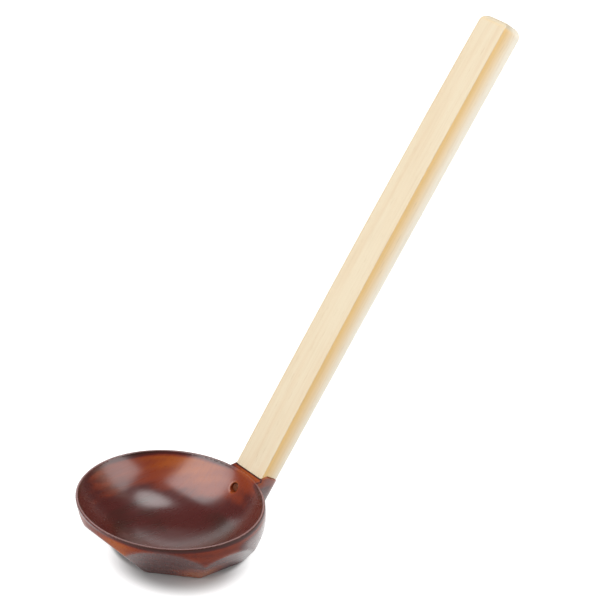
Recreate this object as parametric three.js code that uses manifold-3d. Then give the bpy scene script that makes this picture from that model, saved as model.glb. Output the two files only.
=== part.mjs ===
// A small soup ladle: a carved and lacquered wooden bowl, a bamboo handle and the peg that pins them.
// Millimetres, +Z up. The origin is the middle of the foot, and the handle leans towards +X.

import * as THREE from "three";
import { mergeVertices } from "three/addons/utils/BufferGeometryUtils.js";
import Module from "manifold-3d";

const wasm = await Module();
wasm.setup();

// Bowl: the turned wall, the hollow and the foot. The shifts are towards the handle, at the foot's depth.
const RIM_RADIUS = 35.3;
const LIP = 1.1;
const HOLLOW_DEPTH = 16;
const HOLLOW_FLATNESS = 3;
const HOLLOW_POWER = 0.9;
const HOLLOW_SHIFT = 3;
const FLOOR = 4.7;
const WALL_DEPTH = 36;
const WALL_SHIFT = 5;
const FOOT_APOTHEM = 24.6;
const FOOT_SHIFT = 6.5;

// How far each carved facet stays under the rim, from the neck round to the front.
const REAR_FACET_TOP = 9;
const REAR_CORNER_FACET_TOP = 9;
const SIDE_FACET_TOP = 6.2;
const FRONT_CORNER_FACET_TOP = 2;
const FRONT_FACET_TOP = 4.5;

// Handle: its rise over the rim, its length past the joint, its section along the way and its tenon.
const HANDLE_RISE = 57.85;
const HANDLE_LENGTH = 196;
const HANDLE_WIDTH_LOW = 14.9;
const HANDLE_WIDTH_TIP = 13.3;
const HANDLE_THICK_LOW = 11.4;
const HANDLE_THICK_MIDDLE = 14;
const HANDLE_THICK_TIP = 14.4;
const HANDLE_SQUARENESS = 3.8;
const HANDLE_BOW = 1.1;
const TIP_ROUND = 3.2;
const TENON_WIDTH = 8.6;
const TENON_THICK = 4.5;
const TENON_LENGTH = 9.5;

// Neck: where the joint stands behind the rim, and the cheeks that hold the handle's stepped end.
const JOINT_BACK = 2.6;
const LEDGE_DROP = 0.8;
const NECK_SQUARENESS = 3.6;
const NECK_PROUD = 0.5;
const NECK_STRAIGHT = 6;
const NECK_FLOOR = 2.7;
const CHEEK = 1.2;
const CHEEK_RISE = 2;
const CHEEK_SLOPE = 1.6;
const FIT = 0.25;

// Peg: driven from inside the bowl, through the wall and the tenon, blind in the back of the neck.
const PEG_DIAMETER = 3;
const PEG_DROP = 5.8;
const PEG_CROSS = 5.2;
const PEG_BITE = 1.6;
const PEG_SUNK = 0.9;
const PEG_CHAMFER = 0.3;

// Fineness of the round surfaces.
const ROUND_STEPS = 72;
const WALL_STEPS = 12;
const LIP_STEPS = 4;
const SECTION_STEPS = 20;
const HANDLE_STEPS = 16;
const TIP_STEPS = 4;
const NECK_STEPS = 12;
const PEG_STEPS = 24;

// Reach of a cutter past what it cuts, and how near two corners have to lie to be one.
const SPARE = 60;
const WELD = 1e-5;

const footDepth = HOLLOW_DEPTH + FLOOR;
const mouthRadius = RIM_RADIUS - LIP;
const lipRadius = LIP / 2;

// A turned shape has triangles with no area where it meets its axis: they are left out.
function wholeTriangles(index) {
  const kept = [];
  for (let i = 0; i < index.length; i += 3) {
    const [a, b, c] = index.slice(i, i + 3);
    if (a !== b && b !== c && c !== a) {
      kept.push(a, b, c);
    }
  }
  return kept;
}

function solid(geometry) {
  geometry.deleteAttribute("normal");
  geometry.deleteAttribute("uv");
  const merged = mergeVertices(geometry, WELD);
  const vertProperties = new Float32Array(merged.attributes.position.array);
  const triVerts = new Uint32Array(wholeTriangles(merged.index.array));
  return new wasm.Manifold(new wasm.Mesh({ numProp: 3, vertProperties, triVerts }));
}

function geometryOf(body) {
  const mesh = body.getMesh();
  const geometry = new THREE.BufferGeometry();
  geometry.setAttribute("position", new THREE.BufferAttribute(mesh.vertProperties, 3));
  geometry.setIndex(new THREE.BufferAttribute(mesh.triVerts, 1));
  geometry.computeVertexNormals();
  return geometry;
}

// A turned shape about Z, leaning so that the foot's depth is shifted towards the handle.
function turned(points, steps, shift = 0) {
  const shear = new THREE.Matrix4().makeShear(0, 0, 0, 0, -shift / footDepth, 0);
  return new THREE.LatheGeometry(points, steps).rotateX(Math.PI / 2).applyMatrix4(shear);
}

function wallRadius(depth) {
  return RIM_RADIUS * Math.sqrt(1 - (Math.max(depth - lipRadius, 0) / WALL_DEPTH) ** 2);
}

// Outer half of the lip's round, then the round wall down to the foot.
function outerWall() {
  const points = [new THREE.Vector2(0, -footDepth)];
  for (let i = 0; i <= WALL_STEPS; i += 1) {
    const depth = THREE.MathUtils.lerp(footDepth, lipRadius, i / WALL_STEPS);
    points.push(new THREE.Vector2(wallRadius(depth), -depth));
  }
  for (let i = 1; i <= LIP_STEPS; i += 1) {
    const turn = ((Math.PI / 2) * i) / LIP_STEPS;
    const out = RIM_RADIUS - lipRadius * (1 - Math.cos(turn));
    points.push(new THREE.Vector2(out, lipRadius * (Math.sin(turn) - 1)));
  }
  points.push(new THREE.Vector2(0, 0));
  return turned(points, ROUND_STEPS, WALL_SHIFT);
}

// The hollow up to the inner half of the lip's round, with a mouth above the rim.
function hollow() {
  const points = [];
  for (let i = 0; i <= WALL_STEPS; i += 1) {
    const turn = ((Math.PI / 2) * i) / WALL_STEPS;
    const depth = THREE.MathUtils.lerp(lipRadius, HOLLOW_DEPTH, Math.cos(turn) ** (2 * HOLLOW_POWER));
    points.push(new THREE.Vector2(mouthRadius * Math.sin(turn) ** (2 / HOLLOW_FLATNESS), -depth));
  }
  for (let i = 1; i <= LIP_STEPS; i += 1) {
    const turn = ((Math.PI / 2) * i) / LIP_STEPS;
    const out = mouthRadius + lipRadius * (1 - Math.cos(turn));
    points.push(new THREE.Vector2(out, lipRadius * (Math.sin(turn) - 1)));
  }
  points.push(new THREE.Vector2(mouthRadius + lipRadius, lipRadius));
  points.push(new THREE.Vector2(0, lipRadius));
  return turned(points, ROUND_STEPS, HOLLOW_SHIFT);
}

// A block whose inner face is one facet: from the edge of the foot up to its top on the round wall.
function facetBlock(angle, top) {
  const low = FOOT_APOTHEM + FOOT_SHIFT * Math.cos(angle);
  const high = wallRadius(top) + ((WALL_SHIFT * top) / footDepth) * Math.cos(angle);
  const block = new THREE.BoxGeometry(SPARE, 2 * SPARE, 2 * SPARE).translate(SPARE / 2, 0, 0);
  block.rotateY(Math.atan2(high - low, footDepth - top));
  return block.translate(low, 0, -footDepth).rotateZ(angle);
}

const facetTops = [
  REAR_FACET_TOP,
  REAR_CORNER_FACET_TOP,
  SIDE_FACET_TOP,
  FRONT_CORNER_FACET_TOP,
  FRONT_FACET_TOP,
];
const facetTurn = Math.PI / (facetTops.length - 1);

function facetedWall() {
  let body = solid(outerWall());
  facetTops.forEach((top, place) => {
    body = body.subtract(solid(facetBlock(place * facetTurn, top)));
    body = body.subtract(solid(facetBlock(-place * facetTurn, top)));
  });
  return body;
}

// The frame of the joint: Z along the handle, X square to its top face, away from the bowl.
const lean = THREE.MathUtils.degToRad(90 - HANDLE_RISE);
const jointPoint = new THREE.Vector3(RIM_RADIUS + JOINT_BACK, 0, -LEDGE_DROP);

function toJoint(geometry) {
  return geometry.rotateY(lean).translate(jointPoint.x, jointPoint.y, jointPoint.z);
}

function atJoint(back, along) {
  return new THREE.Vector3(back, 0, along).applyAxisAngle(new THREE.Vector3(0, 1, 0), lean).add(jointPoint);
}

// Half a section across the handle or the neck: flat on the top face, rounded below.
function sectionPoints(width, thick, squareness) {
  const power = 2 / squareness;
  const points = [];
  for (let i = SECTION_STEPS; i >= 0; i -= 1) {
    const turn = (Math.PI * i) / SECTION_STEPS;
    const across = Math.sign(Math.cos(turn)) * Math.abs(Math.cos(turn)) ** power;
    points.push(new THREE.Vector2(thick * Math.sin(turn) ** power, (width / 2) * across));
  }
  return points;
}

// A bar along the handle with the neck's section, drawn forward past the top face.
function neckBar(width, thick, from, to) {
  const points = sectionPoints(width, thick, NECK_SQUARENESS);
  points.unshift(new THREE.Vector2(-SPARE, -width / 2));
  points.push(new THREE.Vector2(-SPARE, width / 2));
  const bar = new THREE.ExtrudeGeometry(new THREE.Shape(points), { depth: to - from, bevelEnabled: false });
  return toJoint(bar.translate(0, 0, from));
}

// A side outline in the plane of symmetry, drawn out to both sides.
function slab(points) {
  const shape = new THREE.Shape(points.map((point) => new THREE.Vector2(point.x, point.z)));
  const geometry = new THREE.ExtrudeGeometry(shape, { depth: SPARE, bevelEnabled: false });
  return geometry.rotateX(Math.PI / 2).translate(0, SPARE / 2, 0);
}

const neckWidth = HANDLE_WIDTH_LOW + 2 * NECK_PROUD;
const neckThick = HANDLE_THICK_LOW;
const seatWidth = neckWidth - 2 * CHEEK;
const seatThick = neckThick - CHEEK;
const tenonMiddle = seatThick / 2;
const mortiseDepth = TENON_LENGTH + FIT;

// Side outline of the neck: ledge, sloped cheek, straight back, and round under into the bowl's wall.
function neckOutline() {
  const bottom = atJoint(tenonMiddle + TENON_THICK / 2 + FIT, -mortiseDepth).z - NECK_FLOOR;
  const back = atJoint(neckThick, -NECK_STRAIGHT);
  const corner = atJoint(neckThick, -NECK_STRAIGHT - (back.z - bottom) / Math.cos(lean));
  const inside = new THREE.Vector3(mouthRadius - LIP, 0, bottom);
  const under = new THREE.QuadraticBezierCurve3(back, corner, inside).getPoints(NECK_STEPS);
  const ledge = new THREE.Vector3(inside.x, 0, -LEDGE_DROP);
  const cheek = [atJoint(CHEEK_SLOPE, CHEEK_RISE), atJoint(neckThick, CHEEK_RISE)];
  return slab([ledge, jointPoint, ...cheek, ...under]);
}

function neck() {
  const body = solid(neckOutline()).intersect(solid(neckBar(neckWidth, neckThick, -SPARE, SPARE)));
  return body.subtract(solid(neckBar(seatWidth, seatThick, 0, SPARE)));
}

function tenonBlock(clearance, from, to) {
  const block = new THREE.BoxGeometry(TENON_THICK + 2 * clearance, TENON_WIDTH + 2 * clearance, to - from);
  return toJoint(block.translate(tenonMiddle, 0, (from + to) / 2));
}

// The peg runs from the wall of the hollow to where it crosses the middle of the tenon, and on.
const pegLevel = ((PEG_DROP - lipRadius) / (HOLLOW_DEPTH - lipRadius)) ** (1 / HOLLOW_POWER);
const pegOut = mouthRadius * (1 - pegLevel) ** (1 / HOLLOW_FLATNESS);
const pegPoint = new THREE.Vector3(pegOut + (HOLLOW_SHIFT * PEG_DROP) / footDepth, 0, -PEG_DROP);
const pegLine = atJoint(tenonMiddle, -PEG_CROSS).sub(pegPoint);
const pegLean = Math.atan2(pegLine.x, pegLine.z);
const tenonHalfway = TENON_THICK / 2 / Math.cos(pegLean - lean - Math.PI / 2);
const pegEnd = pegLine.length() + tenonHalfway + PEG_BITE;

function pegBore() {
  const radius = PEG_DIAMETER / 2 + FIT;
  const length = 2 * (pegEnd + FIT);
  const bore = new THREE.CylinderGeometry(radius, radius, length, PEG_STEPS).rotateX(Math.PI / 2);
  return bore.rotateY(pegLean).translate(pegPoint.x, pegPoint.y, pegPoint.z);
}

function bowl() {
  const mortise = tenonBlock(FIT, -mortiseDepth, FIT);
  let body = facetedWall().add(neck()).subtract(solid(hollow()));
  body = body.subtract(solid(mortise)).subtract(solid(pegBore()));
  return geometryOf(body);
}

// Rings of one section each, closed at both ends.
function loft(rings) {
  const count = rings[0].length;
  const positions = rings.flat().flatMap((point) => [point.x, point.y, point.z]);
  const index = [];
  for (let ring = 0; ring + 1 < rings.length; ring += 1) {
    for (let i = 0; i < count; i += 1) {
      const a = ring * count + i;
      const b = ring * count + ((i + 1) % count);
      index.push(a, b, b + count, a, b + count, a + count);
    }
  }
  const last = (rings.length - 1) * count;
  for (let i = 1; i + 1 < count; i += 1) {
    index.push(0, i + 1, i, last, last + i, last + i + 1);
  }
  const geometry = new THREE.BufferGeometry();
  geometry.setAttribute("position", new THREE.Float32BufferAttribute(positions, 3));
  geometry.setIndex(index);
  return geometry;
}

// The handle is thinnest at the neck, so its thickness follows a curve through three values.
function handleThick(share) {
  const early = THREE.MathUtils.lerp(HANDLE_THICK_LOW, HANDLE_THICK_MIDDLE, 2 * share);
  const late = THREE.MathUtils.lerp(HANDLE_THICK_MIDDLE, HANDLE_THICK_TIP, 2 * share - 1);
  return THREE.MathUtils.lerp(early, late, share);
}

// One ring of the handle at a height over the joint, drawn in by the round of the tip.
function handleRing(along, inset) {
  const share = along / HANDLE_LENGTH;
  const width = THREE.MathUtils.lerp(HANDLE_WIDTH_LOW, HANDLE_WIDTH_TIP, share) - 2 * inset;
  const rise = inset - 4 * HANDLE_BOW * share * (1 - share);
  const section = sectionPoints(width, handleThick(share) - 2 * inset, HANDLE_SQUARENESS);
  return section.map((point) => new THREE.Vector3(point.x + rise, point.y, along));
}

function handleBar() {
  const rings = [];
  const straight = HANDLE_LENGTH - TIP_ROUND;
  for (let i = 0; i <= HANDLE_STEPS; i += 1) {
    rings.push(handleRing(THREE.MathUtils.lerp(FIT, straight, i / HANDLE_STEPS), 0));
  }
  for (let i = 1; i <= TIP_STEPS; i += 1) {
    const turn = ((Math.PI / 2) * i) / TIP_STEPS;
    rings.push(handleRing(straight + TIP_ROUND * Math.sin(turn), TIP_ROUND * (1 - Math.cos(turn))));
  }
  return toJoint(loft(rings));
}

// What is cut from the handle's end for the cheeks, all round the core that stands in the seat.
function cheekStep() {
  const step = slab([
    atJoint(-FIT, -SPARE),
    atJoint(-FIT, 0),
    atJoint(CHEEK_SLOPE - FIT, CHEEK_RISE + FIT),
    atJoint(SPARE, CHEEK_RISE + FIT),
    atJoint(SPARE, -SPARE),
  ]);
  return solid(step).subtract(solid(neckBar(seatWidth - 2 * FIT, seatThick - FIT, -SPARE, SPARE)));
}

function handle() {
  const tenon = tenonBlock(0, -TENON_LENGTH, 2 * FIT);
  const body = solid(handleBar()).subtract(cheekStep()).add(solid(tenon));
  return geometryOf(body.subtract(solid(pegBore())));
}

function peg() {
  const radius = PEG_DIAMETER / 2;
  const profile = [
    new THREE.Vector2(0, PEG_SUNK),
    new THREE.Vector2(radius - PEG_CHAMFER, PEG_SUNK),
    new THREE.Vector2(radius, PEG_SUNK + PEG_CHAMFER),
    new THREE.Vector2(radius, pegEnd - PEG_CHAMFER),
    new THREE.Vector2(radius - PEG_CHAMFER, pegEnd),
    new THREE.Vector2(0, pegEnd),
  ];
  return geometryOf(solid(turned(profile, PEG_STEPS)));
}

function piece(name, geometry, color, roughness) {
  const mesh = new THREE.Mesh(geometry, new THREE.MeshStandardMaterial({ color, roughness, metalness: 0 }));
  mesh.name = name;
  return mesh;
}

// The pieces are drawn with the middle of the rim as origin, and stand on the foot.
const ladle = new THREE.Group();
ladle.position.set(-FOOT_SHIFT, 0, footDepth);
ladle.add(piece("bowl", bowl(), 0x5a2a1e, 0.25));
ladle.add(piece("handle", handle(), 0xedd8b6, 0.55));

const pin = piece("peg", peg(), 0xc79a5e, 0.6);
pin.position.copy(pegPoint);
pin.rotation.y = pegLean;
ladle.add(pin);

export default ladle;
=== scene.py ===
import math

import bpy
import numpy as np
from mathutils import Matrix, Vector


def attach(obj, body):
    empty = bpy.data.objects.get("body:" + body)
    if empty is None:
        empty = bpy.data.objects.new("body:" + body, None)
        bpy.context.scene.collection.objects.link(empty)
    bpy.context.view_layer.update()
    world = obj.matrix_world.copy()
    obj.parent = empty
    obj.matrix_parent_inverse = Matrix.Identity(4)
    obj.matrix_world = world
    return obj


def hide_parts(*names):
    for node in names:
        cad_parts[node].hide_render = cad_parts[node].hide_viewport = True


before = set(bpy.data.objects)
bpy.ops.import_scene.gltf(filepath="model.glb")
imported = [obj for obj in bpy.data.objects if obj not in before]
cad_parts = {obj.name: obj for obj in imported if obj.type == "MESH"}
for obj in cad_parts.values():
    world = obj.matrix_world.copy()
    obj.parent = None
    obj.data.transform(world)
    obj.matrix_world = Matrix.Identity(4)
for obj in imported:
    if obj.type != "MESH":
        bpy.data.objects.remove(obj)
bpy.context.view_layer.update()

# Bowl: one block of hardwood with its grain along the neck. The hollow is turned, the wall is round under the
# lip and carved to eight flats lower down, and the neck is left standing to hold the handle. Brown-red
# lacquer is wiped on in thin coats, so the wood shows through, most where the coat is thin.
MM = 0.001
RIM_RADIUS = 35.3
LIP = 1.1
FOOT_DEPTH = 20.7
FOOT_SHIFT = 6.5
FOOT_APOTHEM = 24.6
HOLLOW_DEPTH = 16.0
HOLLOW_FLATNESS = 3.0
HOLLOW_POWER = 0.9
HOLLOW_SHIFT = 3.0
WALL_DEPTH = 36.0
WALL_SHIFT = 5.0
WALL_LOWEST = 0.9
FLAT_TOPS = (9.0, 9.0, 6.2, 2.0, 4.5)
FLATS = 8
HANDLE_RISE = 57.85
HANDLE_WIDTH_LOW = 14.9
HANDLE_THICK_LOW = 11.4
JOINT_BACK = 2.6
LEDGE_DROP = 0.8
NECK_SQUARENESS = 3.6
NECK_PROUD = 0.5
NECK_STRAIGHT = 6.0
NECK_FLOOR = 2.7
NECK_REACH = 25.0
CHEEK = 1.2
CHEEK_RISE = 2.0
CHEEK_SLOPE = 1.6
FIT = 0.25
TENON_WIDTH = 8.6
TENON_THICK = 4.5
TENON_LENGTH = 9.5
PEG_DIAMETER = 3.0
PEG_DROP = 5.8
PEG_CROSS = 5.2
PEG_BITE = 1.6
CARVED_EDGE = 0.5
FOOT_EDGE = 0.6
NECK_ROOT = 2.0
LEDGE_GROOVE = 0.3
NECK_EDGE = 0.7
SEAT_EDGE = 0.35
HOLE_EDGE = 0.6

lean = math.radians(90 - HANDLE_RISE)
mouth_radius = RIM_RADIUS - LIP
lip_shift = WALL_SHIFT * LIP / 2 / FOOT_DEPTH
neck_width = HANDLE_WIDTH_LOW + 2 * NECK_PROUD
neck_thick = HANDLE_THICK_LOW
seat_width = neck_width - 2 * CHEEK
seat_thick = neck_thick - CHEEK
tenon_middle = seat_thick / 2
mortise_depth = TENON_LENGTH + FIT
joint_x = RIM_RADIUS + JOINT_BACK
joint_z = -LEDGE_DROP


def at_joint(back, along):
    """A point of the plane of symmetry, from how far it is behind the handle's face and along the handle."""
    x = joint_x + back * math.cos(lean) + along * math.sin(lean)
    return x, joint_z - back * math.sin(lean) + along * math.cos(lean)


peg_level = ((PEG_DROP - LIP / 2) / (HOLLOW_DEPTH - LIP / 2)) ** (1 / HOLLOW_POWER)
peg_x = mouth_radius * (1 - peg_level) ** (1 / HOLLOW_FLATNESS) + HOLLOW_SHIFT * PEG_DROP / FOOT_DEPTH
peg_target = at_joint(tenon_middle, -PEG_CROSS)
peg_run = math.hypot(peg_target[0] - peg_x, peg_target[1] + PEG_DROP)
peg_dip = math.atan2(-PEG_DROP - peg_target[1], peg_target[0] - peg_x)
peg_end = peg_run + TENON_THICK / 2 / math.cos(peg_dip - lean) + PEG_BITE


def soft_max(a, b, blend):
    near = np.maximum(blend - np.abs(a - b), 0)
    return np.maximum(a, b) + near * near / (4 * blend)


def soft_min(a, b, blend):
    return -soft_max(-a, -b, blend)


def round_wall(x, y, z):
    """The wall as it was turned: below zero in the wood, in millimetres from the rim's middle."""
    fall = np.clip((-z - LIP / 2) / WALL_DEPTH, 0, WALL_LOWEST)
    return np.hypot(x + WALL_SHIFT * z / FOOT_DEPTH, y) - RIM_RADIUS * np.sqrt(1 - fall**2)


def carved_wall(x, y, z):
    """The wall with its flats and the foot."""
    wall = round_wall(x, y, z)
    for place in range(FLATS):
        top = FLAT_TOPS[min(place, FLATS - place)]
        turn = 2 * math.pi * place / FLATS
        low = FOOT_APOTHEM + FOOT_SHIFT * math.cos(turn)
        high = RIM_RADIUS * math.sqrt(1 - (max(top - LIP / 2, 0) / WALL_DEPTH) ** 2)
        high += WALL_SHIFT * top / FOOT_DEPTH * math.cos(turn)
        slope = math.atan2(high - low, FOOT_DEPTH - top)
        out = x * math.cos(turn) + y * math.sin(turn) - low
        flat = out * math.cos(slope) - (z + FOOT_DEPTH) * math.sin(slope)
        wall = soft_max(wall, flat, CARVED_EDGE)
    return soft_max(wall, -FOOT_DEPTH - z, FOOT_EDGE)


def turned_hollow(x, y, z, least_room=1e-4):
    """Above zero in the hollow, below zero in the wood under it."""
    out = np.hypot(x + HOLLOW_SHIFT * z / FOOT_DEPTH, y) / mouth_radius
    room = np.maximum(1 - out**HOLLOW_FLATNESS, least_room)
    deep = HOLLOW_DEPTH - LIP / 2
    floor = -LIP / 2 - deep * np.where(out < 1, room, 0) ** HOLLOW_POWER
    steep = HOLLOW_FLATNESS * HOLLOW_POWER * deep / mouth_radius
    steep = steep * out ** (HOLLOW_FLATNESS - 1) * room ** (HOLLOW_POWER - 1)
    return np.minimum((z - floor) / np.hypot(1, steep), mouth_radius * (1 - out))


def section(back, y, width, thick):
    """A bar along the handle: flat sides drawn forward, and a rounded back."""
    depth = (np.maximum(back, 0) / thick) ** NECK_SQUARENESS
    across = (np.abs(y) / (width / 2)) ** NECK_SQUARENESS
    return ((depth + across) ** (1 / NECK_SQUARENESS) - 1) * width / 2


def neck(x, y, z, back, along):
    """The ledge behind the rim, the cheeks, the straight back and the round underside."""
    cheek = (CHEEK_SLOPE * along - CHEEK_RISE * back) / math.hypot(CHEEK_SLOPE, CHEEK_RISE)
    top = soft_max(soft_min(z - joint_z, cheek, NECK_EDGE), along - CHEEK_RISE, NECK_EDGE)
    bottom = at_joint(tenon_middle + TENON_THICK / 2 + FIT, -mortise_depth)[1] - NECK_FLOOR
    under = soft_max(back - neck_thick, bottom - z, at_joint(neck_thick, -NECK_STRAIGHT)[1] - bottom)
    body = soft_max(section(back, y, neck_width, neck_thick), under, NECK_ROOT)
    return np.maximum(soft_max(body, top, NECK_EDGE), NECK_REACH - x)


def bowl_skin(points):
    """How far points lie outside the bowl's wood, below zero inside it."""
    x, y, z = points[..., 0] + FOOT_SHIFT, points[..., 1], points[..., 2] - FOOT_DEPTH
    back = (x - joint_x) * math.cos(lean) - (z - joint_z) * math.sin(lean)
    along = (x - joint_x) * math.sin(lean) + (z - joint_z) * math.cos(lean)
    out = np.hypot(x - lip_shift, y) - RIM_RADIUS + LIP / 2
    lip = np.hypot(out, np.maximum(z + LIP / 2, 0)) - LIP / 2
    wall = np.where(z > -LIP / 2, lip, carved_wall(x, y, z))
    stem = np.maximum(neck(x, y, z, back, along), -out)
    body = soft_min(wall, stem, np.clip(-z - LIP / 2, LEDGE_GROOVE, NECK_ROOT))
    body = np.where(z > -LIP / 2, body, np.maximum(body, turned_hollow(x, y, z)))
    seat = soft_max(section(back, y, seat_width, seat_thick), -along, SEAT_EDGE)
    body = soft_max(body, -seat, SEAT_EDGE)
    mortise = np.maximum(np.abs(back - tenon_middle) - TENON_THICK / 2, np.abs(y) - TENON_WIDTH / 2) - FIT
    mortise = np.maximum(mortise, np.maximum(-mortise_depth - along, along - FIT))
    body = soft_max(body, -mortise, SEAT_EDGE)
    deep = (x - peg_x) * math.cos(peg_dip) - (z + PEG_DROP) * math.sin(peg_dip)
    aside = (x - peg_x) * math.sin(peg_dip) + (z + PEG_DROP) * math.cos(peg_dip)
    bore = np.maximum(np.hypot(aside, y) - PEG_DIAMETER / 2 - FIT, np.abs(deep) - peg_end - FIT)
    return soft_max(body, -bore, HOLE_EDGE)


def slope_of(skin, points, reach=0.01):
    """The skin's gradient at points."""
    steps = reach * np.eye(3)
    return np.stack([skin(points + step) - skin(points - step) for step in steps], -1) / (2 * reach)


EVENING = (0.5, 0.5, 0.0, 0.0)
LEAST_SLOPE = 0.1


def carved_mesh(name, skin, lines):
    """A closed mesh of the surface where skin is zero: one corner for each cell of the grid that it cuts."""
    grid = np.stack(np.meshgrid(*lines, indexing="ij"), -1)
    value = skin(grid)
    wood = value < 0
    cells = tuple(n - 1 for n in wood.shape)
    corners = [(i, j, k) for i in (0, 1) for j in (0, 1) for k in (0, 1)]

    def shifted(array, corner):
        return array[tuple(slice(c, c + n) for c, n in zip(corner, cells))]

    count = sum(shifted(wood, corner).astype(int) for corner in corners)
    cut = (count > 0) & (count < len(corners))
    number = np.full(cells, -1)
    number[cut] = np.arange(cut.sum())
    total = np.zeros((cut.sum(), 3))
    crossings = np.zeros((cut.sum(), 1))
    for start in corners:
        for axis in range(3):
            if start[axis]:
                continue
            end = tuple(c + (a == axis) for a, c in enumerate(start))
            v0, v1 = shifted(value, start)[cut], shifted(value, end)[cut]
            p0, p1 = shifted(grid, start)[cut], shifted(grid, end)[cut]
            crosses = ((v0 < 0) != (v1 < 0))[:, None]
            share = (v0 / np.where(v0 == v1, 1, v0 - v1))[:, None]
            total += np.where(crosses, p0 + share * (p1 - p0), 0)
            crossings += crosses
    points = total / crossings

    quads = []
    for axis in range(3):
        ahead, aside = (axis + 1) % 3, (axis + 2) % 3
        first = np.moveaxis(wood, (axis, ahead, aside), (0, 1, 2))
        cell = np.moveaxis(number, (axis, ahead, aside), (0, 1, 2))
        leaves = first[:-1, 1:-1, 1:-1] & ~first[1:, 1:-1, 1:-1]
        enters = ~first[:-1, 1:-1, 1:-1] & first[1:, 1:-1, 1:-1]
        ring = [cell[:, :-1, :-1], cell[:, 1:, :-1], cell[:, 1:, 1:], cell[:, :-1, 1:]]
        quads.append(np.stack([corner[leaves] for corner in ring], -1))
        quads.append(np.stack([corner[enters] for corner in ring[::-1]], -1))
    quads = np.concatenate(quads)

    pairs = np.concatenate([quads[:, [0, 1]], quads[:, [1, 2]], quads[:, [2, 3]], quads[:, [3, 0]]])
    start, end = pairs.T
    meeting = np.bincount(start, minlength=len(points))[:, None]
    for even in EVENING:
        middle = np.stack([np.bincount(start, points[end, axis], len(points)) for axis in range(3)], -1)
        points += even * (middle / meeting - points)
        slope = slope_of(skin, points)
        points -= slope * (skin(points) / np.maximum((slope**2).sum(-1), LEAST_SLOPE))[:, None]

    mesh = bpy.data.meshes.new(name)
    mesh.from_pydata(points * MM, [], quads, shade_flat=False)
    slope = slope_of(skin, points)
    mesh.normals_split_custom_set_from_vertices(slope / np.linalg.norm(slope, axis=-1, keepdims=True))
    return mesh, points


def grid_line(low, fine_low, fine_high, high, fine, coarse=0.49):
    """Places along one axis: coarse steps, with fine ones between fine_low and fine_high."""
    ends = ((low, fine_low, coarse), (fine_low, fine_high, fine), (fine_high, high, coarse))
    return np.concatenate([np.arange(start, stop, step) for start, stop, step in ends if stop > start])


def place_piece(name, mesh, node):
    piece = bpy.data.objects.new(name, mesh)
    bpy.context.scene.collection.objects.link(piece)
    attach(piece, "root")
    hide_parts(node)


bowl_lines = (
    grid_line(low=-43.0, fine_low=22.0, fine_high=43.0, high=43.0, fine=0.33),
    grid_line(low=-36.5, fine_low=-9.0, fine_high=9.0, high=36.5, fine=0.33),
    grid_line(low=-0.8, fine_low=17.5, fine_high=21.5, high=21.5, fine=0.27),
)
bowl_mesh, bowl_points = carved_mesh("lacquered_bowl", bowl_skin, bowl_lines)
place_piece("lacquered_bowl", bowl_mesh, "bowl")


def lerp(a, b, share):
    return a + (b - a) * share


def fade(value, start, end):
    """0 before start and 1 after end, with an even rise between them; end may be the lower one."""
    return np.clip((value - start) / (end - start), 0, 1)


def patch(bearing, middle, width):
    """A soft patch on the way round the bowl, 1 at its middle."""
    return np.exp(-(((bearing - middle) / width) ** 2))


# Where each point of the wood lies: its depth under the rim, how far it is to one side and to the rear in
# parts of the mouth's radius, its bearing round the rim, and its place behind and along the handle's face.
ACROSS = math.radians(-44)
HOLLOW_SKIN = 0.3
rim_points = bowl_points + (FOOT_SHIFT, 0, -FOOT_DEPTH)
x, y, depth = rim_points[:, 0], rim_points[:, 1], -rim_points[:, 2]
from_middle = np.hypot(x - HOLLOW_SHIFT * depth / FOOT_DEPTH, y)
inside = (from_middle < mouth_radius + LIP / 2) & (turned_hollow(*rim_points.T) > -HOLLOW_SKIN)
across = (x * math.cos(ACROSS) + y * math.sin(ACROSS)) / mouth_radius
rear = (y * math.cos(ACROSS) - x * math.sin(ACROSS)) / mouth_radius
bearing = np.degrees(np.arctan2(y, x))
back = (x - joint_x) * math.cos(lean) + (depth + joint_z) * math.sin(lean)
along = (x - joint_x) * math.sin(lean) - (depth + joint_z) * math.cos(lean)

# Where the wood is a ridge, above zero, or a groove, below zero, and where the turned wall is left standing.
EDGE_REACH = 0.8
ANY_WAY = (0.3, 0.5, 0.8)
TURNED_SKIN = 0.7
facing = slope_of(bowl_skin, bowl_points)
facing /= np.linalg.norm(facing, axis=-1, keepdims=True)
one_way = np.cross(facing, ANY_WAY)
one_way /= np.linalg.norm(one_way, axis=-1, keepdims=True)
other_way = np.cross(facing, one_way)
around = [s * EDGE_REACH * way for s in (-1, 1) for way in (one_way, other_way)]
edge = sum(bowl_skin(bowl_points + step) for step in around) / (len(around) * EDGE_REACH)
turned_left = fade(round_wall(*rim_points.T), -TURNED_SKIN, 0)

# The coat in the hollow runs together at the bottom and is thicker at the front, to both sides and in a patch
# on one side. The thicker coat at the front and sides is partly painted shade, and the patch is painted shade
# over a lamp's reflection.
HOLLOW_COAT = 0.28
POOL_COAT = 0.75
POOL_DEPTH = 13.0
POOL_POWER = 3
REAR_COAT = -0.06
FRONT_COAT = 0.35
FRONT_START = 0.45
LEFT_COAT = 0.67
RIGHT_COAT = 0.7
SHADE_PATCH_COAT = 0.16
SHADE_PATCH_BEARING = 78.0
SHADE_PATCH_WIDTH = 20.0
coat_and_shade_inside = HOLLOW_COAT + POOL_COAT * fade(depth, 0, POOL_DEPTH) ** POOL_POWER
coat_and_shade_inside += REAR_COAT * np.clip(rear, 0, 1) + FRONT_COAT * np.clip(FRONT_START - rear, 0, 1)
coat_and_shade_inside += np.where(across > 0, RIGHT_COAT, LEFT_COAT) * across**2
coat_and_shade_inside += SHADE_PATCH_COAT * patch(bearing, SHADE_PATCH_BEARING, SHADE_PATCH_WIDTH)
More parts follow.
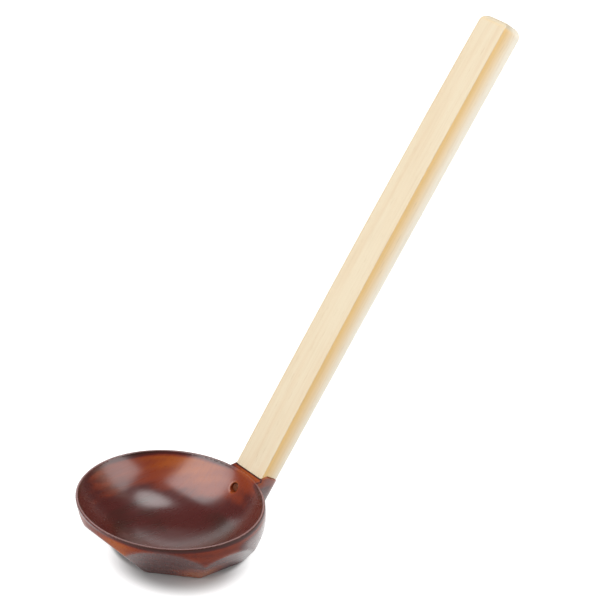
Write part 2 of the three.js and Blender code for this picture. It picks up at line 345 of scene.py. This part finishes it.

# Outside, the flats have the thicker coat. It is thinner, so lighter, in one place on the turned wall and in
# a spot low on the front flat, and thicker on a band of the far right flank below the lip.
FLAT_COAT = 0.95
TURNED_COAT = -0.27
TURNED_SPOT_COAT = -0.53
TURNED_SPOT_BEARING = -163.0
TURNED_SPOT_WIDTH = 11.0
FRONT_SPOT_COAT = -1.0
FRONT_SPOT_BEARING = -100.0
FRONT_SPOT_WIDTH = 17.0
FRONT_SPOT_START, FRONT_SPOT_FULL = 12.0, 17.0
FLANK_COAT = 0.5
FLANK_START, FLANK_FULL = 0.8, 0.9
FLANK_TOP, FLANK_LOW = 2.5, 5.0
turned_spot = patch(bearing, TURNED_SPOT_BEARING, TURNED_SPOT_WIDTH)
front_spot = patch(bearing, FRONT_SPOT_BEARING, FRONT_SPOT_WIDTH) * fade(depth, FRONT_SPOT_START, FRONT_SPOT_FULL)
far_right = fade(across, FLANK_START, FLANK_FULL)
right_flank = far_right * fade(depth, FLANK_TOP, FLANK_LOW)
coat_outside = FLAT_COAT + turned_left * (TURNED_COAT + TURNED_SPOT_COAT * turned_spot)
coat_outside += FRONT_SPOT_COAT * front_spot + FLANK_COAT * right_flank

# The coat draws back from the carved edges. Round the lip it is painted thick, dark to nearly black, and less
# so on the left: partly thick lacquer and partly painted shade under the lip.
EDGE_COAT = -0.6
EDGE_LIMITS = (-0.3, 0.5)
EDGE_TOP = 3.0
LIP_COAT_AND_SHADE = 1.1
LIP_COAT_LOW, LIP_COAT_FULL = 2.08, 0.48
LEFT_LIP_START, LEFT_LIP_FULL = -0.5, -0.75
LEFT_LIP_LESS = 0.7
coat = np.where(inside, coat_and_shade_inside, coat_outside)
coat += EDGE_COAT * np.clip(edge, *EDGE_LIMITS) * (depth > EDGE_TOP)
left_lip = fade(across, LEFT_LIP_START, LEFT_LIP_FULL)
coat += LIP_COAT_AND_SHADE * fade(depth, LIP_COAT_LOW, LIP_COAT_FULL) * (1 - LEFT_LIP_LESS * left_lip)

# On the neck and round its root the coat is wiped thin and looks golden. The groove at the handle is painted
# thick and nearly black: a painted shadow along the joint.
NECK_COAT = 0.2
NECK_SIDE_COAT = 0.55
NECK_SIDE_FULL = 3.5
NECK_START = -2.0
NECK_LOW, NECK_FULL = -5.5, -0.5
GOLDEN_PLACE = (RIM_RADIUS, -3.0, 0)
GOLDEN_SHARE = 0.85
GOLDEN_REACH, GOLDEN_FULL = 12.8, 4.8
GOLDEN_LOW, GOLDEN_TOP = 5.25, 1.75
GOLDEN_COAT = 0.15
GOLDEN_COAT_RISE = 0.15
GOLDEN_COAT_DEPTH = 3.0
LEDGE_SKIN = 0.3
GROOVE_SHADE_COAT = 1.2
GROOVE_BACK = -0.1
GROOVE_REACH = 0.6
GROOVE_LOW = -1.0
on_neck = fade(back, NECK_START, 0) * fade(along, NECK_LOW, NECK_FULL)
neck_side = facing[:, 1] ** 2 * fade(back, 0, NECK_SIDE_FULL)
coat = np.where(inside, coat, lerp(coat, NECK_COAT + NECK_SIDE_COAT * neck_side, on_neck))
from_golden = np.linalg.norm(rim_points - GOLDEN_PLACE, axis=-1)
golden = GOLDEN_SHARE * fade(from_golden, GOLDEN_REACH, GOLDEN_FULL) * fade(depth, GOLDEN_LOW, GOLDEN_TOP)
golden_coat = GOLDEN_COAT + GOLDEN_COAT_RISE * np.clip(depth, 0, GOLDEN_COAT_DEPTH)
on_top = inside | (depth < LEDGE_DROP + LEDGE_SKIN)
coat = np.where(on_top, lerp(coat, golden_coat, golden), coat)
groove_shade = fade(np.abs(back - GROOVE_BACK), GROOVE_REACH, 0) * (along > GROOVE_LOW) * ~inside
coat += GROOVE_SHADE_COAT * groove_shade

# The coat is thin round the peg's hole. The crest of the lip is painted a pale pink: a painted highlight
# along it.
HOLE_COAT = 0.15
HOLE_SHARE = 0.8
HOLE_REACH, HOLE_FULL = 2.86, 1.56
HOLE_LOW = 9.0
CREST_START, CREST_FULL = 0.75, 0.95
CREST_LOW = 0.6
from_peg = np.hypot((x - peg_x) * math.sin(peg_dip) - (depth - PEG_DROP) * math.cos(peg_dip), y)
at_hole = fade(from_peg, HOLE_REACH, HOLE_FULL) * (depth < HOLE_LOW) * (inside | (back < 0))
coat = lerp(coat, HOLE_COAT, HOLE_SHARE * at_hole)
crest = fade(facing[:, 2], CREST_START, CREST_FULL) * (depth < CREST_LOW) * (1 - golden)

# The polish is full in the hollow, less on the flats, and least on the turned wall, the lip and the neck.
FLAT_POLISH = 0.4
LOW_POLISH = 0.35
LOW_POLISH_START, LOW_POLISH_FULL = 3.0, 13.0
FAR_RIGHT_POLISH = 0.4
FRONT_RIGHT_POLISH = -0.22
FRONT_RIGHT_START, FRONT_RIGHT_FULL = 0.4, 0.65
LEAST_POLISH = 0.05
TURNED_START, TURNED_FULL = 0.792, 0.912
TURNED_POLISH = 0.3
EDGE_DULL_FULL = 0.25
EDGE_DULL = 0.9
LIP_LOW = 1.5
LEFT_LIP_POLISH = 0.45
NECK_SIDE_POLISH = 0.6
LEFT_DULL = 0.26
LEFT_DULL_RISE = 1.4
GOLDEN_DULL = 0.5
polish_flats = FLAT_POLISH + LOW_POLISH * fade(depth, LOW_POLISH_START, LOW_POLISH_FULL)
polish_flats += FAR_RIGHT_POLISH * far_right
polish_flats += FRONT_RIGHT_POLISH * fade(across, FRONT_RIGHT_START, FRONT_RIGHT_FULL)
polish_turned = np.maximum(fade(across, TURNED_START, TURNED_FULL), LEAST_POLISH)
polish_turned *= lerp(TURNED_POLISH, 1, right_flank)
polish_outside = lerp(polish_flats, polish_turned, turned_left)
polish_outside *= 1 - np.minimum(fade(edge, 0, EDGE_DULL_FULL), EDGE_DULL)
polish_outside = np.where(depth < LIP_LOW, LEAST_POLISH + LEFT_LIP_POLISH * left_lip, polish_outside)
polish_outside = lerp(polish_outside, LEAST_POLISH + NECK_SIDE_POLISH * neck_side, on_neck)
polish_inside = 1 - LEFT_DULL * np.clip(-LEFT_DULL_RISE * across, 0, 1) - GOLDEN_DULL * golden


def keep_values(mesh, name, values, low=-1.0, high=1.5):
    kept = mesh.attributes.new(name, "FLOAT", "POINT")
    kept.data.foreach_set("value", np.clip(values, low, high).astype(np.float32))


keep_values(bowl_mesh, "coat", coat)
keep_values(bowl_mesh, "painted_lip_highlight", crest)
keep_values(bowl_mesh, "polish", np.where(inside, polish_inside, polish_outside))


def finish(name):
    material = bpy.data.materials.new(name)
    material.use_nodes = True
    return material, material.node_tree, material.node_tree.nodes["Principled BSDF"]


def node(tree, kind, values, out=0, **settings):
    """Adds a shader node, sets or links its inputs, and returns one of its outputs."""
    made = tree.nodes.new("ShaderNode" + kind)
    for name, value in settings.items():
        setattr(made, name, value)
    for socket, value in values.items():
        if isinstance(value, bpy.types.NodeSocket):
            tree.links.new(value, made.inputs[socket])
        else:
            made.inputs[socket].default_value = value
    return made.outputs[out]


def sum_of(tree, a, b, share=1.0):
    """a plus share times b."""
    return node(tree, "Math", {0: b, 1: share, 2: a}, operation="MULTIPLY_ADD")


def times(tree, a, b):
    return node(tree, "Math", {0: a, 1: b}, operation="MULTIPLY")


def ramp(tree, value, low, high, start=0.0, end=1.0):
    """A smooth rise from start to end while value goes from low to high."""
    values = {0: value, 1: low, 2: high, 3: start, 4: end}
    return node(tree, "MapRange", values, interpolation_type="SMOOTHSTEP")


def mixed(tree, share, first, second):
    """The first colour, with a share of the second."""
    return node(tree, "Mix", {0: share, 6: first, 7: second}, out=2, data_type="RGBA")


def streaks(tree, place, length, width, detail=3.0, rough=0.5):
    """Noise drawn out along X, with streaks of about that length and width in metres."""
    stretched = node(tree, "Mapping", {"Vector": place, "Scale": (1 / length, 1 / width, 1 / width)})
    return node(tree, "TexNoise", {"Vector": stretched, "Scale": 1.0, "Detail": detail, "Roughness": rough})


THIN_COAT = (0.34, 0.074, 0.010, 1)
FULL_COAT = (0.215, 0.034, 0.012, 1)
DEEP_COAT = (0.076, 0.012, 0.010, 1)
PORE_AND_SHADE = (0.045, 0.012, 0.008, 1)
LIP_HIGHLIGHT_PAINT = (0.30, 0.17, 0.16, 1)
LAYERS_PER_METRE = (30.0, 1300.0, 60.0)
RING_MIDDLE = (0, 0.012, 0.055)
RING_SHAPE = {"Scale": 78.0, "Distortion": 2.5, "Detail": 2.0, "Detail Scale": 0.8}
NOISE_MIDDLE = 0.5
FIBRE_COAT, LAYER_COAT, RING_COAT, CLOUD_COAT = 0.15, 0.25, 0.1, 0.4
PORE_SHARE = 0.25
PORE_RELIEF = -0.6
LAYER_RELIEF = 1.2
LACQUER_RELIEF = 0.000006

lacquer, tree, shader = finish("brown_red_lacquer")
place = node(tree, "TexCoord", {}, out="Object")
fibre = streaks(tree, place, length=0.025, width=0.0012)
fine_fibre = streaks(tree, place, length=0.006, width=0.00035, detail=2.0)
pores = ramp(tree, streaks(tree, place, length=0.007, width=0.00045, detail=1.0), low=0.66, high=0.74)
layer_place = node(tree, "Mapping", {"Vector": place, "Scale": LAYERS_PER_METRE})
layers = node(tree, "TexNoise", {"Vector": layer_place, "Scale": 1.0, "Detail": 3.0})
ring_place = node(tree, "Mapping", {"Vector": place, "Location": RING_MIDDLE})
ring_values = {"Vector": ring_place, **RING_SHAPE}
growth = node(tree, "TexWave", ring_values, out="Fac", wave_type="RINGS", rings_direction="X")
cloud = node(tree, "TexNoise", {"Vector": place, "Scale": 70.0, "Detail": 2.0})
coat_here = node(tree, "Attribute", {}, out="Fac", attribute_name="coat")
uneven = ((fibre, FIBRE_COAT), (layers, LAYER_COAT), (growth, RING_COAT), (cloud, CLOUD_COAT))
for noise, share in uneven:
    coat_here = sum_of(tree, coat_here, sum_of(tree, noise, -NOISE_MIDDLE), share)
colour = mixed(tree, ramp(tree, coat_here, low=0.1, high=0.6), THIN_COAT, FULL_COAT)
colour = mixed(tree, ramp(tree, coat_here, low=0.55, high=1.0), colour, DEEP_COAT)
colour = mixed(tree, times(tree, pores, PORE_SHARE), colour, PORE_AND_SHADE)
# Above 1.1 the coat goes to the near-black pore colour: under the lip and in the groove at the handle this is
# painted shade.
colour = mixed(tree, ramp(tree, coat_here, low=1.1, high=1.5), colour, PORE_AND_SHADE)
# The crest of the lip gets a pale pink colour: a painted highlight.
painted_lip_highlight = node(tree, "Attribute", {}, out="Fac", attribute_name="painted_lip_highlight")
tree.links.new(mixed(tree, painted_lip_highlight, colour, LIP_HIGHLIGHT_PAINT), shader.inputs["Base Color"])
roughness = ramp(tree, fibre, low=0.3, high=0.7, start=0.26, end=0.34)
tree.links.new(roughness, shader.inputs["Roughness"])
polish = node(tree, "Attribute", {}, out="Fac", attribute_name="polish")
tree.links.new(polish, shader.inputs["Coat Weight"])
shader.inputs["Coat Roughness"].default_value = 0.22
shader.inputs["Coat IOR"].default_value = 1.7
shader.inputs["Specular IOR Level"].default_value = 0.12
relief = sum_of(tree, sum_of(tree, fine_fibre, pores, PORE_RELIEF), layers, LAYER_RELIEF)
bump = node(tree, "Bump", {"Strength": 1.0, "Distance": LACQUER_RELIEF, "Height": relief})
tree.links.new(bump, shader.inputs["Normal"])
tree.links.new(bump, shader.inputs["Coat Normal"])
bowl_mesh.materials.append(lacquer)

# Handle: a straight stick of pale bamboo, planed flat on its face, rounded behind and at the tip. Its stepped
# end stands between the neck's cheeks, and a tenon goes on down into the neck.
HANDLE_LENGTH = 196.0
HANDLE_WIDTH_TIP = 13.3
HANDLE_THICK_MIDDLE = 14.0
HANDLE_THICK_TIP = 14.4
HANDLE_SQUARENESS = 3.8
HANDLE_BOW = 1.1
TIP_ROUND = 3.2
TIP_SANDED = 0.1
RIDGE_ROUND = 0.45
TENON_CHAMFER = 0.5
FACE_STEPS = 24
RIDGE_STEPS = 6
BACK_STEPS = 64
HANDLE_RINGS = 130
TIP_RINGS = 12
CAP_RINGS = 5
CAP_MIDDLE = 0.02
TENON_CAP = (CAP_MIDDLE, 0.5, 1.0)
SHARP_ANGLE = math.radians(40)


def stick_section(width, thick, squareness):
    """One ring of points (back, y) round the handle: flat face, rounded ridges, superellipse behind."""
    flat = np.linspace(-1, 1, FACE_STEPS, endpoint=False) * (width / 2 - RIDGE_ROUND)
    face = np.stack([np.zeros(FACE_STEPS), flat], -1)
    turn = np.linspace(0, math.pi / 2, RIDGE_STEPS, endpoint=False)
    ridge_out = width / 2 - RIDGE_ROUND + RIDGE_ROUND * np.sin(turn)
    ridge = np.stack([RIDGE_ROUND * (1 - np.cos(turn)), ridge_out], -1)
    low_turn = math.asin((RIDGE_ROUND / thick) ** (squareness / 2))
    turn = np.linspace(low_turn, math.pi - low_turn, BACK_STEPS + 1)
    across = np.sign(np.cos(turn)) * np.abs(np.cos(turn)) ** (2 / squareness) * width / 2
    behind = np.stack([thick * np.sin(turn) ** (2 / squareness), across], -1)
    return np.concatenate([face, ridge, behind, (ridge * (1, -1))[:0:-1]])


def stick_ring(along, inset=0.0):
    """A ring of the handle at a place along it, drawn in by inset, with the handle's taper and bow."""
    share = along / HANDLE_LENGTH
    early = lerp(HANDLE_THICK_LOW, HANDLE_THICK_MIDDLE, 2 * share)
    late = lerp(HANDLE_THICK_MIDDLE, HANDLE_THICK_TIP, 2 * share - 1)
    width = lerp(HANDLE_WIDTH_LOW, HANDLE_WIDTH_TIP, share) - 2 * inset
    ring = stick_section(width, lerp(early, late, share) - 2 * inset, HANDLE_SQUARENESS)
    ring[:, 0] += inset - 4 * HANDLE_BOW * share * (1 - share)
    return np.insert(ring, 2, along, axis=1)


def stepped(ring):
    """The end of the handle over the cheeks: low on the face, and a step higher round the sides and back."""
    rise = (CHEEK_RISE + FIT) / CHEEK_SLOPE
    return np.clip((ring[:, 0] + FIT) * rise, 0, CHEEK_RISE + FIT)


core = np.insert(stick_section(seat_width - 2 * FIT, seat_thick - FIT, NECK_SQUARENESS), 2, 0.0, axis=1)
tenon_axis = np.array([tenon_middle, 0, 0])
tenon_half = (TENON_THICK / 2, TENON_WIDTH / 2)
spread = (core - tenon_axis)[:, :2] / tenon_half
tenon = core.copy()
tenon[:, :2] = spread / np.abs(spread).max(1, keepdims=True) * tenon_half + tenon_axis[:2]
tenon_tip = (tenon - tenon_axis) * (1 - 2 * TENON_CHAMFER / TENON_THICK) + tenon_axis

handle_rings = [lerp(tenon_axis, tenon_tip, share) + (0, 0, -TENON_LENGTH) for share in TENON_CAP]
handle_rings += [tenon + (0, 0, TENON_CHAMFER - TENON_LENGTH), tenon + (0, 0, FIT), core + (0, 0, FIT)]
core_top, stick_low = core.copy(), stick_ring(0.0)
core_top[:, 2] = stepped(core)
stick_low[:, 2] = stepped(stick_low)
handle_rings += [core_top, stick_low]
straight = HANDLE_LENGTH - TIP_ROUND - TIP_SANDED
handle_rings += [stick_ring(place) for place in np.linspace(CHEEK_RISE + 4 * FIT, straight, HANDLE_RINGS)]
for turn in np.linspace(0, math.pi / 2, TIP_RINGS + 1)[1:]:
    handle_rings.append(stick_ring(straight + TIP_ROUND * math.sin(turn), TIP_ROUND * (1 - math.cos(turn))))
tip_ring, tip_middle = handle_rings[-1], handle_rings[-1].mean(0)
cap_shares = np.linspace(0, 1 - CAP_MIDDLE, CAP_RINGS + 1)[1:]
handle_rings += [lerp(tip_ring, tip_middle, share) for share in cap_shares]


def loft(name, rings):
    """A closed mesh through rings with the same number of points, given along the handle from the joint."""
    count = len(rings[0])
    points = np.concatenate(rings)
    places = np.empty_like(points)
    places[:, 0] = joint_x - FOOT_SHIFT + points[:, 0] * math.cos(lean) + points[:, 2] * math.sin(lean)
    places[:, 1] = points[:, 1]
    places[:, 2] = FOOT_DEPTH + joint_z - points[:, 0] * math.sin(lean) + points[:, 2] * math.cos(lean)
    step = np.arange(count)
    ahead = (step + 1) % count
    faces = []
    for low in range(0, len(points) - count, count):
        high = low + count
        faces += np.stack([low + step, low + ahead, high + ahead, high + step], -1).tolist()
    faces.append(step[::-1].tolist())
    faces.append((len(points) - count + step).tolist())
    mesh = bpy.data.meshes.new(name)
    mesh.from_pydata(places * MM, [], faces, shade_flat=False)
    mesh.set_sharp_from_angle(angle=SHARP_ANGLE)
    return mesh


handle_mesh = loft("bamboo_handle", handle_rings)
place_piece("bamboo_handle", handle_mesh, "handle")

BAMBOO = (0.665, 0.54, 0.37, 1)
BAMBOO_PALE = (0.685, 0.585, 0.42, 1)
BAMBOO_GOLDEN_SHADE = (0.82, 0.525, 0.175, 1)
BAMBOO_SKIN_AND_LIGHT = (0.95, 0.87, 0.72, 1)
BAMBOO_FIBRE = (0.50, 0.345, 0.175, 1)
DASH_SHARE = 0.35
DASH_RELIEF = -0.7
BAMBOO_RELIEF = 0.00003

bamboo, tree, shader = finish("planed_bamboo")
joint_place = (MM * (joint_x - FOOT_SHIFT), 0, MM * (FOOT_DEPTH + joint_z))
along_stick = {
    "Vector": node(tree, "TexCoord", {}, out="Object"),
    "Location": joint_place,
    "Rotation": (0, lean - math.pi / 2, 0),
}
place = node(tree, "Mapping", along_stick, vector_type="TEXTURE")
broad = streaks(tree, place, length=0.06, width=0.0035, detail=2.0)
fibre = streaks(tree, place, length=0.03, width=0.0006)
dashes = ramp(tree, streaks(tree, place, length=0.005, width=0.0004, detail=1.0), low=0.67, high=0.75)
run = times(tree, node(tree, "SeparateXYZ", {0: place}, out="X"), 1 / (MM * HANDLE_LENGTH))
bow = times(tree, run, sum_of(tree, 1.0, run, -1.0))
before = node(tree, "SeparateXYZ", {0: place}, out="Z")
behind = sum_of(tree, times(tree, bow, 4 * MM * HANDLE_BOW), before, -1.0)
# Next to the ridge the side is painted a darker gold, partly the bamboo's colour and partly painted shade;
# towards the back it turns pale, partly the bamboo's skin and partly painted rim light.
face = mixed(tree, ramp(tree, broad, low=0.3, high=0.7), BAMBOO, BAMBOO_PALE)
flank_shade_and_skin = mixed(tree, ramp(tree, behind, low=0.0, high=0.011), BAMBOO_GOLDEN_SHADE, BAMBOO_SKIN_AND_LIGHT)
colour = mixed(tree, ramp(tree, behind, low=0.0, high=0.0005), face, flank_shade_and_skin)
up_stick = (math.sin(lean), 0, math.cos(lean))
square_to = {0: node(tree, "TexCoord", {}, out="Normal"), 1: up_stick}
end_grain = node(tree, "VectorMath", square_to, out="Value", operation="DOT_PRODUCT")
end = mixed(tree, ramp(tree, behind, low=0.002, high=0.008), BAMBOO_PALE, BAMBOO_SKIN_AND_LIGHT)
colour = mixed(tree, ramp(tree, end_grain, low=0.15, high=0.6), colour, end)
colour = mixed(tree, ramp(tree, fibre, low=0.42, high=0.75, end=0.16), colour, BAMBOO_FIBRE)
colour = mixed(tree, times(tree, dashes, DASH_SHARE), colour, BAMBOO_FIBRE)
tree.links.new(colour, shader.inputs["Base Color"])
roughness = ramp(tree, fibre, low=0.3, high=0.7, start=0.45, end=0.6)
tree.links.new(roughness, shader.inputs["Roughness"])
shader.inputs["Coat Weight"].default_value = 0.5
shader.inputs["Coat Roughness"].default_value = 0.28
relief = sum_of(tree, fibre, dashes, DASH_RELIEF)
bump = node(tree, "Bump", {"Strength": 1.0, "Distance": BAMBOO_RELIEF, "Height": relief})
tree.links.new(bump, shader.inputs["Normal"])
handle_mesh.materials.append(bamboo)

# Peg: a short round wooden peg, driven from inside the bowl through the wall and the tenon, and left a little
# below the surface. The last coat of lacquer ran over its end.
PEG_SUNK = 0.9
PEG_CHAMFER = 0.3
PEG_STEPS = 48
PEG_MIDDLE = 0.3
PEG_FACE = 0.8
peg_radius = PEG_DIAMETER / 2
peg_profile = (
    (PEG_MIDDLE, PEG_SUNK),
    (PEG_FACE, PEG_SUNK),
    (peg_radius - PEG_CHAMFER, PEG_SUNK),
    (peg_radius, PEG_SUNK + PEG_CHAMFER),
    (peg_radius, peg_end - PEG_CHAMFER),
    (peg_radius - PEG_CHAMFER, peg_end),
    (PEG_MIDDLE, peg_end),
)
peg_turn = 2 * math.pi * np.arange(PEG_STEPS) / PEG_STEPS
peg_points, peg_faces = [], []
for ring, (radius, deep) in enumerate(peg_profile):
    up = radius * np.sin(peg_turn)
    peg_points += np.stack([
        peg_x - FOOT_SHIFT + deep * math.cos(peg_dip) + up * math.sin(peg_dip),
        radius * np.cos(peg_turn),
        FOOT_DEPTH - PEG_DROP - deep * math.sin(peg_dip) + up * math.cos(peg_dip),
    ], -1).tolist()
    for i in range(PEG_STEPS if ring else 0):
        a, b = ring * PEG_STEPS + i, ring * PEG_STEPS + (i + 1) % PEG_STEPS
        peg_faces.append((a, b, b - PEG_STEPS, a - PEG_STEPS))
peg_faces.append(tuple(range(PEG_STEPS)))
peg_faces.append(tuple(range(len(peg_points) - 1, len(peg_points) - 1 - PEG_STEPS, -1)))
peg_mesh = bpy.data.meshes.new("wooden_peg")
peg_mesh.from_pydata(np.array(peg_points) * MM, [], peg_faces, shade_flat=False)
peg_mesh.set_sharp_from_angle(angle=SHARP_ANGLE)
place_piece("wooden_peg", peg_mesh, "peg")

PEG_WOOD = (0.16, 0.048, 0.020, 1)
PEG_GRAIN = (0.085, 0.025, 0.011, 1)
PEG_RELIEF = 0.00004

peg_wood, tree, shader = finish("lacquered_peg")
place = node(tree, "TexCoord", {}, out="Object")
grain = streaks(tree, place, length=0.004, width=0.0003)
colour = mixed(tree, ramp(tree, grain, low=0.35, high=0.65), PEG_WOOD, PEG_GRAIN)
tree.links.new(colour, shader.inputs["Base Color"])
shader.inputs["Roughness"].default_value = 0.5
shader.inputs["Specular IOR Level"].default_value = 0.2
bump = node(tree, "Bump", {"Strength": 1.0, "Distance": PEG_RELIEF, "Height": grain})
tree.links.new(bump, shader.inputs["Normal"])
peg_mesh.materials.append(peg_wood)

# Studio: a sheet of white paper lies under the ladle and rises behind it. It glows to white, less near the
# foot and least round a point set off from the foot towards the camera, so that the ladle's own shadow shows
# there and the held-back glow adds a painted shadow in front of the foot. Two large soft lamps stand left and
# right of the camera, and a small one hangs overhead.
FLOOR_RADIUS = 2.6
PAPER_RADII = (0.02, 0.3, 1.0, 2.0, FLOOR_RADIUS)
PAPER_STEPS = 96
PAPER_GAP = 0.00005
paper_points, paper_faces = [], []
for ring, radius in enumerate(PAPER_RADII):
    for i in range(PAPER_STEPS):
        turn = 2 * math.pi * i / PAPER_STEPS
        paper_points.append((radius * math.cos(turn), radius * math.sin(turn), -PAPER_GAP))
        a, b = ring * PAPER_STEPS + i, ring * PAPER_STEPS + (i + 1) % PAPER_STEPS
        if ring:
            paper_faces.append((a - PAPER_STEPS, a, b, b - PAPER_STEPS))
paper_faces.append(tuple(range(PAPER_STEPS)))
paper_mesh = bpy.data.meshes.new("paper_floor")
paper_mesh.from_pydata(paper_points, [], paper_faces)
paper_floor = bpy.data.objects.new("paper_floor", paper_mesh)
bpy.context.scene.collection.objects.link(paper_floor)

SWEEP_BEARING = 63.0
SWEEP_HALF_TURN = 25.0
SWEEP_STEPS = 48
SWEEP_PROFILE = ((2.1, 0.0), (2.45, 0.12), (FLOOR_RADIUS, 0.5), (FLOOR_RADIUS, 1.5))
sweep_rows = len(SWEEP_PROFILE)
sweep_points, sweep_faces = [], []
for i in range(SWEEP_STEPS + 1):
    turn = math.radians(SWEEP_BEARING + SWEEP_HALF_TURN * (2 * i / SWEEP_STEPS - 1))
    for radius, height in SWEEP_PROFILE:
        sweep_points.append((radius * math.cos(turn), radius * math.sin(turn), height))
    for row in range(sweep_rows - 1 if i else 0):
        a = sweep_rows * i + row
        sweep_faces.append((a - sweep_rows, a, a + 1, a + 1 - sweep_rows))
sweep_mesh = bpy.data.meshes.new("paper_sweep")
sweep_mesh.from_pydata(sweep_points, [], sweep_faces, shade_flat=False)
paper_sweep = bpy.data.objects.new("paper_sweep", sweep_mesh)
bpy.context.scene.collection.objects.link(paper_sweep)

WHITE = (1, 1, 1, 1)
PAPER_GREY = (0.5, 0.5, 0.5, 1)
SHADE_MIDDLE = (-0.0098, -0.0112, 0.0)
NEAR_GLOW = 0.8
FAR_GLOW = 0.2
paper, tree, shader = finish("white_paper")
shader.inputs["Base Color"].default_value = PAPER_GREY
shader.inputs["Roughness"].default_value = 0.9
shader.inputs["Specular IOR Level"].default_value = 0.0
place = node(tree, "TexCoord", {}, out="Object")
away = node(tree, "VectorMath", {0: place}, out="Value", operation="LENGTH")
# Round SHADE_MIDDLE the glow is held back: a painted shadow.
shade_away = node(tree, "VectorMath", {0: place, 1: SHADE_MIDDLE}, out="Value", operation="DISTANCE")
from_foot = ramp(tree, away, low=0.0253, high=0.0278)
from_shade = ramp(tree, shade_away, low=0.0144, high=0.0285)
near_glow = times(tree, times(tree, from_foot, from_shade), NEAR_GLOW)
glow = sum_of(tree, near_glow, ramp(tree, away, low=0.1, high=0.5), FAR_GLOW)
path = tree.nodes.new("ShaderNodeLightPath").outputs
seen = path["Is Camera Ray"]
for ray in ("Is Glossy Ray", "Is Transmission Ray"):
    seen = node(tree, "Math", {0: seen, 1: path[ray]}, operation="MAXIMUM")
shader.inputs["Emission Color"].default_value = WHITE
tree.links.new(times(tree, glow, seen), shader.inputs["Emission Strength"])
paper_mesh.materials.append(paper)
sweep_mesh.materials.append(paper)

world = bpy.data.worlds.new("studio")
world.use_nodes = True
world.node_tree.nodes["Background"].inputs["Color"].default_value = WHITE
world.node_tree.nodes["Background"].inputs["Strength"].default_value = 0.07
bpy.context.scene.world = world

LAMP_DISTANCE = 1.5


def soft_lamp(name, azimuth, elevation, width, height, radiance, aside=0.0, shape="RECTANGLE"):
    """A lamp that faces the bowl, from an azimuth counted from the handle's side."""
    a, e = math.radians(azimuth), math.radians(elevation)
    toward = Vector((math.cos(a) * math.cos(e), math.sin(a) * math.cos(e), math.sin(e)))
    right = Vector((-math.sin(a), math.cos(a), 0))
    light = bpy.data.lights.new(name, "AREA")
    light.shape = shape
    light.size, light.size_y = width, height
    light.energy = radiance * math.pi * width * height
    lamp = bpy.data.objects.new(name, light)
    lamp.rotation_euler = toward.to_track_quat("Z", "Y").to_euler()
    lamp.location = toward * LAMP_DISTANCE + right * aside
    lamp.visible_camera = False
    bpy.context.scene.collection.objects.link(lamp)


soft_lamp("left_softbox", azimuth=180, elevation=42, width=1.72, height=2.72, radiance=2.9, aside=-0.12)
soft_lamp("right_softbox", azimuth=-44, elevation=25, width=1.12, height=1.44, radiance=3.0, aside=-0.09)
soft_lamp("top_lamp", azimuth=6, elevation=67, width=0.8, height=0.56, radiance=3.4, shape="ELLIPSE")

CAMERA_AZIMUTH = -43.62
CAMERA_ELEVATION = 26.74
CAMERA_ROLL = 5.80
CAMERA_DISTANCE = 0.91
CAMERA_AIM = Vector((0.0470, -0.0025, 0.0904))
camera_data = bpy.data.cameras.new("camera")
camera_data.lens = 147.0
camera_data.sensor_width = 36.0
camera = bpy.data.objects.new("camera", camera_data)
camera_turn = Matrix.Rotation(math.radians(CAMERA_AZIMUTH), 4, "Z")
camera_turn = camera_turn @ Matrix.Rotation(math.radians(90 - CAMERA_ELEVATION), 4, "X")
camera_turn = camera_turn @ Matrix.Rotation(math.radians(CAMERA_ROLL), 4, "Z")
camera_back = camera_turn.to_3x3() @ Vector((0, 0, 1))
camera.matrix_world = Matrix.Translation(CAMERA_AIM + CAMERA_DISTANCE * camera_back) @ camera_turn
bpy.context.scene.collection.objects.link(camera)
bpy.context.scene.camera = camera
bpy.context.scene.view_settings.view_transform = "Standard"
